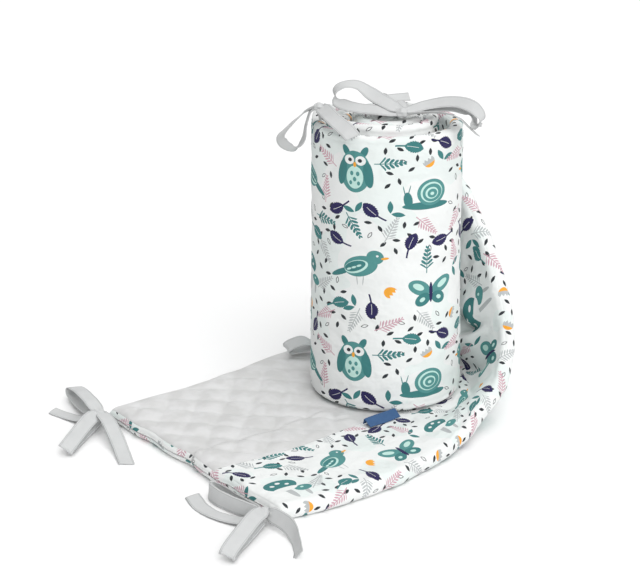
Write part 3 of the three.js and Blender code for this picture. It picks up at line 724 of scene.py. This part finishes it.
def skin(name, node, slot, low, high, relief, material, flat):
    """A cloth panel on the pad's velvet side: the pad's rounded form, a skin's thickness and the relief. Its
    rim is tucked down into the pad."""
    def lines(start, end):
        rim_steps = [start, start, start + 0.5]
        return np.concatenate([rim_steps, spread(start + 1.4, end - 1.4, SKIN_STEP), [end - 0.5, end, end]])

    along = lines(SKIN_EDGE, STRIP_LENGTH - SKIN_EDGE)
    across = lines(low, high)
    a, c = np.meshgrid(along, across, indexing="ij")
    rim = np.minimum(np.minimum(a - along[0], along[-1] - a), np.minimum(c - low, high - c))
    plain = roundness(a, c)
    height = plain + SKIN_THICK * np.sqrt(np.clip(rim / 1.4, 0, 1)) + relief(a, c) * smooth(0, 9, rim)
    height[[0, -1], :] = plain[[0, -1], :] - TUCK
    height[:, [0, -1]] = plain[:, [0, -1]] - TUCK
    points = surface(a, c, height)
    obj = make_object(name, points, grid_faces(len(along), len(across)), cloth_uv(a, c, True), material)
    stand_for(obj, node)


def velvet_panel():
    """The quilted velvet, from the plain edge to the seam."""
    width = (SKIN_EDGE, BAND_SEAM - SEAM_GAP)
    flat = (0.192, 1.795)
    skin("quilted_velvet", "velvet_panel", "grey_velvet", *width, quilt_relief, velvet_material(), flat)


def band_relief(along, across):
    """The border's waves and puckers, which run out toward the seam."""
    return -print_relief(along, across) * 0.8 * smooth(0, 12, across - BAND_SEAM)


def band_height(along, across):
    """The border's top side above the middle surface."""
    return roundness(along, across) + SKIN_THICK + band_relief(along, across)


def border_band():
    """The printed border, from the seam to the strip's edge."""
    width = (BAND_SEAM, STRIP_WIDTH - SKIN_EDGE)
    cotton = bpy.data.materials["printed_cotton"]
    skin("printed_border", "border_band", "printed_cotton", *width, band_relief, cotton, (0.103, 1.795))


# The ties' ribbons, each from one end to the other: a place from the knot, then the direction its width lies
# in. The first two ties are at the free end's corners. The others are placed with +X to the roll's right and
# +Y to its back as its open side faces -Y
FAR_CORNER_TIE = {
    "knot": (-279, 124, 13),
    "knot_size": (7.5, 6.5, 6),
    "ribbons": (
        ((11.6, -2, -4.5, 0, 1, 0), (6, -1, -2.5, 0, 1, 0), (0, 0, 0, 0, 1, 0)),
        ((0, 2, 3, 0.97, -0.1, 0), (4, 24, 6, 0.97, -0.2, 0), (9, 48, 6, 0.97, -0.2, 0),
         (14, 70, 3, 0.95, -0.25, 0), (17, 82, -1, 0.93, -0.35, 0), (15, 80, -6, 0.93, -0.35, 0),
         (8, 56, -7, 0.95, -0.25, 0), (3, 28, -6, 0.97, -0.15, 0), (0, 3, -2, 0.97, -0.1, 0)),
        ((-2, -1, 3, 0.5, -0.7, -0.4), (-18, -11, 4, 0.5, -0.62, -0.58),
         (-38, -25, 1.5, 0.51, -0.6, -0.6), (-56, -38, -1.5, 0.51, -0.6, -0.6),
         (-66, -45, -3.5, 0.51, -0.6, -0.58), (-66, -42, -6.5, 0.51, -0.6, -0.55),
         (-53, -33, -6.5, 0.51, -0.6, -0.55), (-33, -19, -5.5, 0.51, -0.6, -0.5),
         (-5, -1, -3, 0.52, -0.65, -0.45)),
        ((-3, 3, -2, 0.9, 0.3, 0.1), (-10, 20, -9, 0.95, 0.28, 0), (-15, 42, -11.8, 0.97, 0.22, 0),
         (-20, 64, -12, 0.97, 0.22, 0)),
        ((0, -3, 3, 0.95, -0.25, 0), (-5, -24, 3.5, 0.95, -0.27, 0), (-12, -49, -1.5, 0.95, -0.3, 0),
         (-20, -75, -9.5, 0.95, -0.32, 0), (-29, -98, -12, 0.93, -0.36, 0)),
    ),
}

NEAR_CORNER_TIE = {
    "knot": (-275, -163, 12),
    "knot_size": (7, 7, 6),
    "ribbons": (
        ((10.2, 0, -3.5, 0, 1, 0), (5, 0, -1.5, 0, 1, 0), (0, 0, 0, 0, 1, 0)),
        ((-2, -2, 4, 0.5, -0.75, -0.35), (-20, -13, 6, 0.5, -0.7, -0.5),
         (-42, -26, 3.5, 0.5, -0.7, -0.52), (-61, -37, 0, 0.5, -0.68, -0.55),
         (-71, -43, -3, 0.5, -0.68, -0.55), (-70, -42, -6, 0.5, -0.7, -0.5),
         (-57, -32, -6, 0.5, -0.7, -0.5), (-36, -20, -5, 0.5, -0.7, -0.5), (-6, -2, -3, 0.5, -0.7, -0.5)),
        ((1, -4, 1, 0.3, 0.2, 0.9), (3, -18, 0, 0.45, 0.4, 0.8), (3, -33, -1, 0.5, 0.5, 0.7),
         (-1, -48, -3.5, 0.5, 0.55, 0.65), (-8, -62, -6, 0.55, 0.45, 0.6),
         (-17, -76, -7.5, 0.6, 0.3, 0.6)),
        ((-3, 2, -3, 0.5, 0.85, 0), (-15, 10, -8, 0.55, 0.82, 0), (-26, 36, -10.5, 0.93, 0.35, 0),
         (-28, 63, -11, 1, 0, 0), (-21, 90, -11, 0.95, -0.3, 0)),
        ((-2, 4, -3, 0, 0, 1), (-9, 28, -3, 0.25, 0, 0.97), (-13, 54, -3, 0.3, 0, 0.95),
         (-12, 73, -3, 0.25, 0.1, 1), (-6, 77, -3, 0, 0.2, 1), (-1.5, 64, -3, -0.2, 0, 1),
         (-1.5, 38, -3, -0.2, 0, 1), (0, 6, -3, 0, 0, 1)),
    ),
}

MID_TOP_TIE = {
    "knot": (-70.5, -13, 325.5),
    "knot_size": (6.5, 7.5, 5.5),
    "ribbons": (
        ((1, 0, -13.5, 0.18, -0.98, 0), (0.5, 0, -7, 0.18, -0.98, 0), (0, 0, 0, 0.18, -0.98, 0)),
        ((-2, 1, 1, 0.3, -0.8, 0.5), (-15, 5, -7, 0.45, -0.7, 0.55), (-28, 5, -19, 0.56, -0.6, 0.57),
         (-38, 3, -31, 0.56, -0.6, 0.57), (-35, 1, -39, 0.56, -0.6, 0.5), (-24, -1, -42, 0.5, -0.7, 0.5),
         (-16, -1, -33, 0.3, -0.9, 0.2), (-13, 1, -18, 0.15, -0.97, 0.1), (-9, 2, -5, 0.1, -0.97, 0.1),
         (-2, 1, 0, 0.1, -0.97, 0.1)),
        ((2, -3, 1, 0.75, 0.45, 0.5), (7, -22, 1.5, 0.72, 0.5, 0.48), (15, -44, -1, 0.62, 0.6, 0.5),
         (27, -58, -7.5, 0.6, 0.35, 0.72), (34, -60.5, -15, 0.66, 0.3, 0.68)),
    ),
}

MID_LOW_TIE = {
    "knot": (-76, 86.5, 30),
    "knot_size": (6, 6, 5.5),
    "ribbons": (
        ((9, -9.8, -3, 0.8, 0.6, 0), (5, -6, -2, 0.8, 0.6, 0), (0, 0, 0, 0.8, 0.6, 0)),
        ((-2, -1, 1, 0.4, -0.8, -0.4), (-13, -2, 5, 0.4, -0.8, -0.4), (-24, -5, 3, 0.42, -0.78, -0.42),
         (-31, -7, -1, 0.45, -0.76, -0.42), (-29, -6, -4.5, 0.42, -0.8, -0.3),
         (-18, -2, -5, 0.3, -0.9, -0.2), (-3, 0, -3, 0.3, -0.9, -0.1)),
        ((2, 2, 0, -0.4, 0.9, 0), (18, 13, -5, -0.3, 0.95, 0), (36, 19, -8, -0.15, 1, 0),
         (56, 20, -9, 0, 1, 0)),
    ),
}

INNER_TOP_TIE = {
    "knot": (13, -33, 325),
    "knot_size": (7.5, 6.5, 6),
    "ribbons": (
        ((-5, 36, 3.2, 1, 0.1, 0), (-2, 22, 2.6, 1, 0.1, 0), (0, 2, 0, 1, 0.1, 0)),
        ((-2, 0, 0, 0.3, 0.9, 0.3), (-26, 7, 1, 0.25, 0.9, 0.4), (-51, 18, 1.5, 0.2, 0.88, 0.42),
         (-65, 28, 5, 0, 0.9, 0.42), (-67, 32, 14, -0.1, 0.95, 0.3), (-59, 34, 20, -0.2, 0.95, 0.2),
         (-45, 35, 20, -0.1, 0.9, 0.4), (-32, 29, 13, 0.2, 0.8, 0.55), (-17, 15, 7, 0.35, 0.8, 0.5),
         (-1, 1, 2, 0.4, 0.85, 0.3)),
        ((-3, 4, -1, 0.9, 0.4, 0), (-15, 20, 0.5, 0.8, 0.6, 0.1), (-19, 40, 1, 0.7, 0.7, 0.2),
         (-9, 57, 0.5, -0.4, 0.9, 0.3), (9, 66, 0, -0.3, 0.92, 0.3)),
        ((3, 2, 1, -0.2, 0.95, 0.2), (28, 8, 7, -0.1, 0.9, 0.4), (52, 2, 11, 0.1, 0.85, 0.5),
         (69, -11, 9, 0.35, 0.8, 0.5), (77, -19, 0, 0.35, 0.85, 0.4), (73, -19, -8, 0.2, 0.95, 0.2),
         (68, -8, 1, 0, 0.97, 0.2), (52, 4, 4, -0.2, 0.95, 0.2), (30, 10, 2, -0.2, 0.95, 0.1),
         (3, 4, -1, -0.2, 0.95, 0.1)),
        ((4, 0, -1, 0.3, 0.85, -0.3), (30, 4, -0.5, 0.3, 0.85, -0.3), (53, -10, -1, 0.32, 0.82, -0.35),
         (72, -26, -14, 0.35, 0.8, -0.4)),
    ),
}


def ribbon(points, seed):
    """A flat, slightly cupped section carried along a curve through the points. It is gathered in pleats near
    the knot, waves a little, and its free end is cut at a slant. Returns the rings of points, their places on
    the cloth, and the length, in mm."""
    knots = np.arange(len(points))
    points = np.array(points, float)
    at, wide = points[:, :3], points[:, 3:]
    fine = np.linspace(0, len(points) - 1, 40 * len(points))
    path = through(knots, at, fine)
    run = np.concatenate([[0], np.cumsum(np.linalg.norm(np.diff(path, axis=0), axis=1))])
    length = run[-1]
    s = np.linspace(0, length, int(length / RIBBON_STEP) + 2)
    t = np.interp(s, run, fine)
    middle_line = through(knots, at, t)
    ahead = np.gradient(middle_line, s, axis=0)
    ahead /= np.linalg.norm(ahead, axis=1, keepdims=True)
    width = through(knots, wide, t)
    width -= (width * ahead).sum(1, keepdims=True) * ahead
    width /= np.linalg.norm(width, axis=1, keepdims=True)
    normal = np.cross(ahead, width)

    half = settings_size("ribbon_width") / 2
    top = np.linspace(-half, half, 13)
    w = np.concatenate([top, top[-2:0:-1]])
    face = np.concatenate([np.ones(13), -np.ones(11)]) * RIBBON_THICK / 2
    face = face * np.sqrt(1 - (np.abs(w) / half) ** 10)
    s, w = s[:, None], w[None, :]
    open_share = smooth(2, 13, np.linalg.norm(middle_line, axis=1))[:, None]
    free_end = smooth(length - 16, length, s) * (np.linalg.norm(at[-1]) > 20)
    cup = 0.35 * (w / half) ** 2 - 0.2
    pleats = 0.9 * (1 - open_share) * np.cos(2.5 * math.pi * w / half)
    waves = 0.35 * ripples(s, 0.7 * w, seed, 24) * open_share
    across = w * (0.72 + 0.28 * open_share)
    lift = face + cup + pleats + waves
    slant = 0.3 * w * free_end
    place = middle_line[:, None] + across[..., None] * width[:, None] + lift[..., None] * normal[:, None]
    place = place + slant[..., None] * ahead[:, None]
    return place, np.stack(np.broadcast_arrays(s, w), -1), length


def knot_form(size):
    """The knot: a ball stretched to its size, with folds of two sine waves running round it."""
    turn, rise = np.meshgrid(np.arange(36) / 36 * 2 * math.pi, np.linspace(-1, 1, 22) * 0.497 * math.pi)
    fold = 1 + 0.09 * np.sin(4 * turn + 3 * rise) * np.cos(rise) + 0.05 * np.sin(9 * rise + turn)
    shape = np.stack([np.cos(rise) * np.cos(turn), np.cos(rise) * np.sin(turn), np.sin(rise)], -1)
    return shape * fold[..., None] * np.array(size) * 0.85, np.stack([8 * turn, 5 * np.sin(2 * rise)], -1)


def tie(name, node, table, material, turn=0.0):
    """A tied ribbon: its root, loops and free ends, and the knot that holds them."""
    parts = [knot_form(table["knot_size"])]
    total = 0
    for number, points in enumerate(table["ribbons"]):
        place, uv, length = ribbon(points, number + len(name))
        parts.append((place, uv))
        total += length
    points, uvs, faces, caps, start = [], [], [], [], 0
    for place, uv in parts:
        rows, columns = place.shape[:2]
        points.append(place.reshape(-1, 3))
        uvs.append(uv.reshape(-1, 2))
        faces.append(grid_faces(rows, columns, closed=True) + start)
        last = start + (rows - 1) * columns
        caps += [range(start + columns - 1, start - 1, -1), range(last, last + columns)]
        start += rows * columns
    points = np.concatenate(points) + np.array(table["knot"])
    c, s = math.cos(turn), math.sin(turn)
    points = points @ np.array([[c, s, 0], [-s, c, 0], [0, 0, 1]])
    points[:, 2] = np.maximum(points[:, 2], FLOOR_GAP)
    obj = make_object(name, points * MM, np.concatenate(faces), np.concatenate(uvs), material, caps)
    stand_for(obj, node)
    flat = (settings_size("ribbon_width") * MM, round(total * MM, 3))


def ties():
    """The five tied ribbons."""
    material = ribbon_material()
    tie("ribbon_far_corner", "tie_end_far", FAR_CORNER_TIE, material)
    tie("ribbon_near_corner", "tie_end_near", NEAR_CORNER_TIE, material)
    tie("ribbon_mid_top", "tie_mid_top", MID_TOP_TIE, material, -VIEW_TURN)
    tie("ribbon_mid_low", "tie_mid_low", MID_LOW_TIE, material, -VIEW_TURN)
    tie("ribbon_inner_top", "tie_inner_top", INNER_TOP_TIE, material, -VIEW_TURN)


def label():
    """The blank tag in the seam between velvet and border: it stands up from the seam in an S curve, bends
    over and comes down."""
    along = spread(LABEL["from"], LABEL["to"], 1.2)
    top = spread(LABEL["seam"], LABEL["out"], 0.5)
    across = np.concatenate([top, top[-2:0:-1]])
    under = np.concatenate([np.zeros(len(top)), np.ones(len(top) - 2)])
    a, c = np.meshgrid(along, across, indexing="ij")
    share = (c - LABEL["seam"]) / (LABEL["out"] - LABEL["seam"])
    ends = np.minimum(a - LABEL["from"], LABEL["to"] - a)
    rim = np.minimum(ends, np.minimum(c - LABEL["seam"], LABEL["out"] - c))
    plump = 0.35 + 0.65 * np.sqrt(np.clip(rim / 1.2, 0, 1))
    ridge = LABEL["ridge"] * smooth(0, 0.2, share) * (1 - smooth(0.1, 1.1, share))
    curl = 0.6 * np.cos((a - LABEL["from"]) / (LABEL["to"] - LABEL["from"]) * 2 * math.pi) * share
    middle_height = band_height(a, c) + 0.7 + LABEL["thick"] / 2 + ridge + curl * share
    points = surface(a, c, middle_height + np.where(under, -1, 1) * plump * LABEL["thick"] / 2)
    count = len(across)
    last = (len(along) - 1) * count
    caps = (range(count), range(last + count - 1, last - 1, -1))
    uv = np.stack([a - (LABEL["from"] + LABEL["to"]) / 2, c - (LABEL["seam"] + LABEL["out"]) / 2], -1)
    faces = grid_faces(len(along), count, closed=True)[:, ::-1]
    obj = make_object("blank_tag", points, faces, uv, tag_material(), caps)
    stand_for(obj, "side_label")


def dye(name, words, code):
    """A colour of the settings, from its hex code."""
    return FloatVectorProperty(
        name=name, description=words, default=colour(code), size=4, min=0, max=1, subtype="COLOR"
    )


class BUMPER_settings(bpy.types.PropertyGroup):
    """Sizes and colours that a user may change."""

    ribbon_width: FloatProperty(
        name="Ribbon width", description="Width of the ribbon ties", default=RIBBON_WIDTH * MM, min=0.005,
        max=0.03, unit="LENGTH",
    )
    quilt_pitch: FloatProperty(
        name="Quilt pitch", description="From one stitch line of the velvet to the next, along the strip",
        default=QUILT_PITCH * MM, min=0.02, max=0.12, unit="LENGTH",
    )
    cream: dye("Ground", "The printed cloth's ground", "eff1f0")
    wash: dye("Wash", "Pale patches on the ground", "dcece8")
    navy: dye("Navy", "Large leaves", "2f2b57")
    teal: dye("Teal", "The motifs' lighter parts", "559290")
    deep_teal: dye("Deep teal", "The motifs' darker parts", "417f7f")
    mint: dye("Mint", "The motifs' pale marks", "c4e6de")
    pink: dye("Pink", "Sprigs", "cea6b2")
    grey: dye("Grey", "Sprigs, legs and stalks", "b9bdbe")
    black: dye("Black", "Leaflets and eyes", "33373b")
    orange: dye("Orange", "Cups and beaks", "f3a93c")
    # The velvet's two tones are painted shade and painted sheen of its pile, brushed away from and toward the
    # light
    velvet: dye("Velvet", "The velvet brushed away from the light", "d4d4d3")
    velvet_painted_sheen: dye("Brushed velvet", "The velvet brushed toward the light", "dfdfdf")
    ribbon: dye("Ribbon", "The ties", "c9cbcb")
    tag: dye("Tag", "The blank tag", "3a5a84")
    camera_place: FloatVectorProperty(
        name="Camera place", description="Where the camera stands", default=(-1.2405, -1.5275, 0.8288),
        subtype="TRANSLATION",
    )
    camera_turn: FloatVectorProperty(
        name="Camera turn", description="Which way the camera looks",
        default=(math.radians(70.23), 0, math.radians(-37.05)), subtype="EULER",
    )
    camera_lens: FloatProperty(name="Lens", description="Focal length in mm", default=112.08, min=10)
    light: FloatProperty(name="Light", description="Strength of the studio light", default=1.0, min=0)


def stage_scene(settings):
    """The floor, the camera at the photo's angle, and soft light all round."""
    corners = np.array([(-1, -1, 0), (1, -1, 0), (1, 1, 0), (-1, 1, 0)], float) * FLOOR_SIZE
    floor = make_object("floor", corners, np.array([[0, 1, 2, 3]]), corners[:, :2], floor_material())
    camera_data = bpy.data.cameras.new("camera")
    camera_data.lens = settings.camera_lens
    camera_data.sensor_width = 36
    camera_data.clip_end = 100
    camera = bpy.data.objects.new("camera", camera_data)
    camera.location = settings.camera_place
    camera.rotation_euler = settings.camera_turn
    bpy.context.scene.collection.objects.link(camera)
    bpy.context.scene.camera = camera
    for lamp in LAMPS:
        data = bpy.data.lights.new(lamp["name"], "SUN")
        data.energy = lamp["strength"] * settings.light
        data.angle = math.radians(lamp["spread"])
        holder = bpy.data.objects.new(lamp["name"], data)
        holder.location = lamp["from"]
        holder.rotation_euler = Vector(lamp["from"]).to_track_quat("Z", "Y").to_euler()
        bpy.context.scene.collection.objects.link(holder)
    world = bpy.data.worlds.new("studio")
    world.use_nodes = True
    world.node_tree.nodes["Background"].inputs[0].default_value = (1, 1, 1, 1)
    world.node_tree.nodes["Background"].inputs[1].default_value = WORLD_LIGHT
    bpy.context.scene.world = world
    bpy.context.scene.view_settings.view_transform = "Standard"


class BUMPER_OT_pad(bpy.types.Operator):
    """Build the filled pad with its printed cloth"""

    bl_idname = "bumper.pad"
    bl_label = "Padded strip"

    def execute(self, context):
        padded_strip()
        return {"FINISHED"}


class BUMPER_OT_velvet(bpy.types.Operator):
    """Lay the quilted velvet on the pad"""

    bl_idname = "bumper.velvet"
    bl_label = "Velvet panel"

    def execute(self, context):
        velvet_panel()
        return {"FINISHED"}


class BUMPER_OT_band(bpy.types.Operator):
    """Lay the printed border on the pad"""

    bl_idname = "bumper.band"
    bl_label = "Border band"

    def execute(self, context):
        border_band()
        return {"FINISHED"}


class BUMPER_OT_ties(bpy.types.Operator):
    """Tie the five ribbons"""

    bl_idname = "bumper.ties"
    bl_label = "Ribbon ties"

    def execute(self, context):
        ties()
        return {"FINISHED"}


class BUMPER_OT_label(bpy.types.Operator):
    """Sew the blank tag on the border"""

    bl_idname = "bumper.label"
    bl_label = "Blank tag"

    def execute(self, context):
        label()
        return {"FINISHED"}


class BUMPER_OT_stage(bpy.types.Operator):
    """Set up the floor, the lights and the camera"""

    bl_idname = "bumper.stage"
    bl_label = "Stage"

    def execute(self, context):
        stage_scene(context.scene.bumper)
        return {"FINISHED"}


OPERATORS = (
    BUMPER_OT_pad,
    BUMPER_OT_velvet,
    BUMPER_OT_band,
    BUMPER_OT_ties,
    BUMPER_OT_label,
    BUMPER_OT_stage,
)


class BUMPER_PT_panel(bpy.types.Panel):
    """Lists the steps that build the bumper."""

    bl_label = "Bumper"
    bl_space_type = "VIEW_3D"
    bl_region_type = "UI"
    bl_category = "Bumper"

    def draw(self, context):
        for kind in OPERATORS:
            self.layout.operator(kind.bl_idname)
        for name in BUMPER_settings.__annotations__:
            self.layout.prop(context.scene.bumper, name)


CLASSES = (BUMPER_settings, *OPERATORS, BUMPER_PT_panel)


def register():
    for kind in CLASSES:
        bpy.utils.register_class(kind)
    bpy.types.Scene.bumper = PointerProperty(type=BUMPER_settings)


def unregister():
    del bpy.types.Scene.bumper
    for kind in reversed(CLASSES):
        bpy.utils.unregister_class(kind)


def main():
    register()
    for name in ("pad", "velvet", "band", "ties", "label", "stage"):
        getattr(bpy.ops.bumper, name)()


if __name__ == "__main__":
    main()
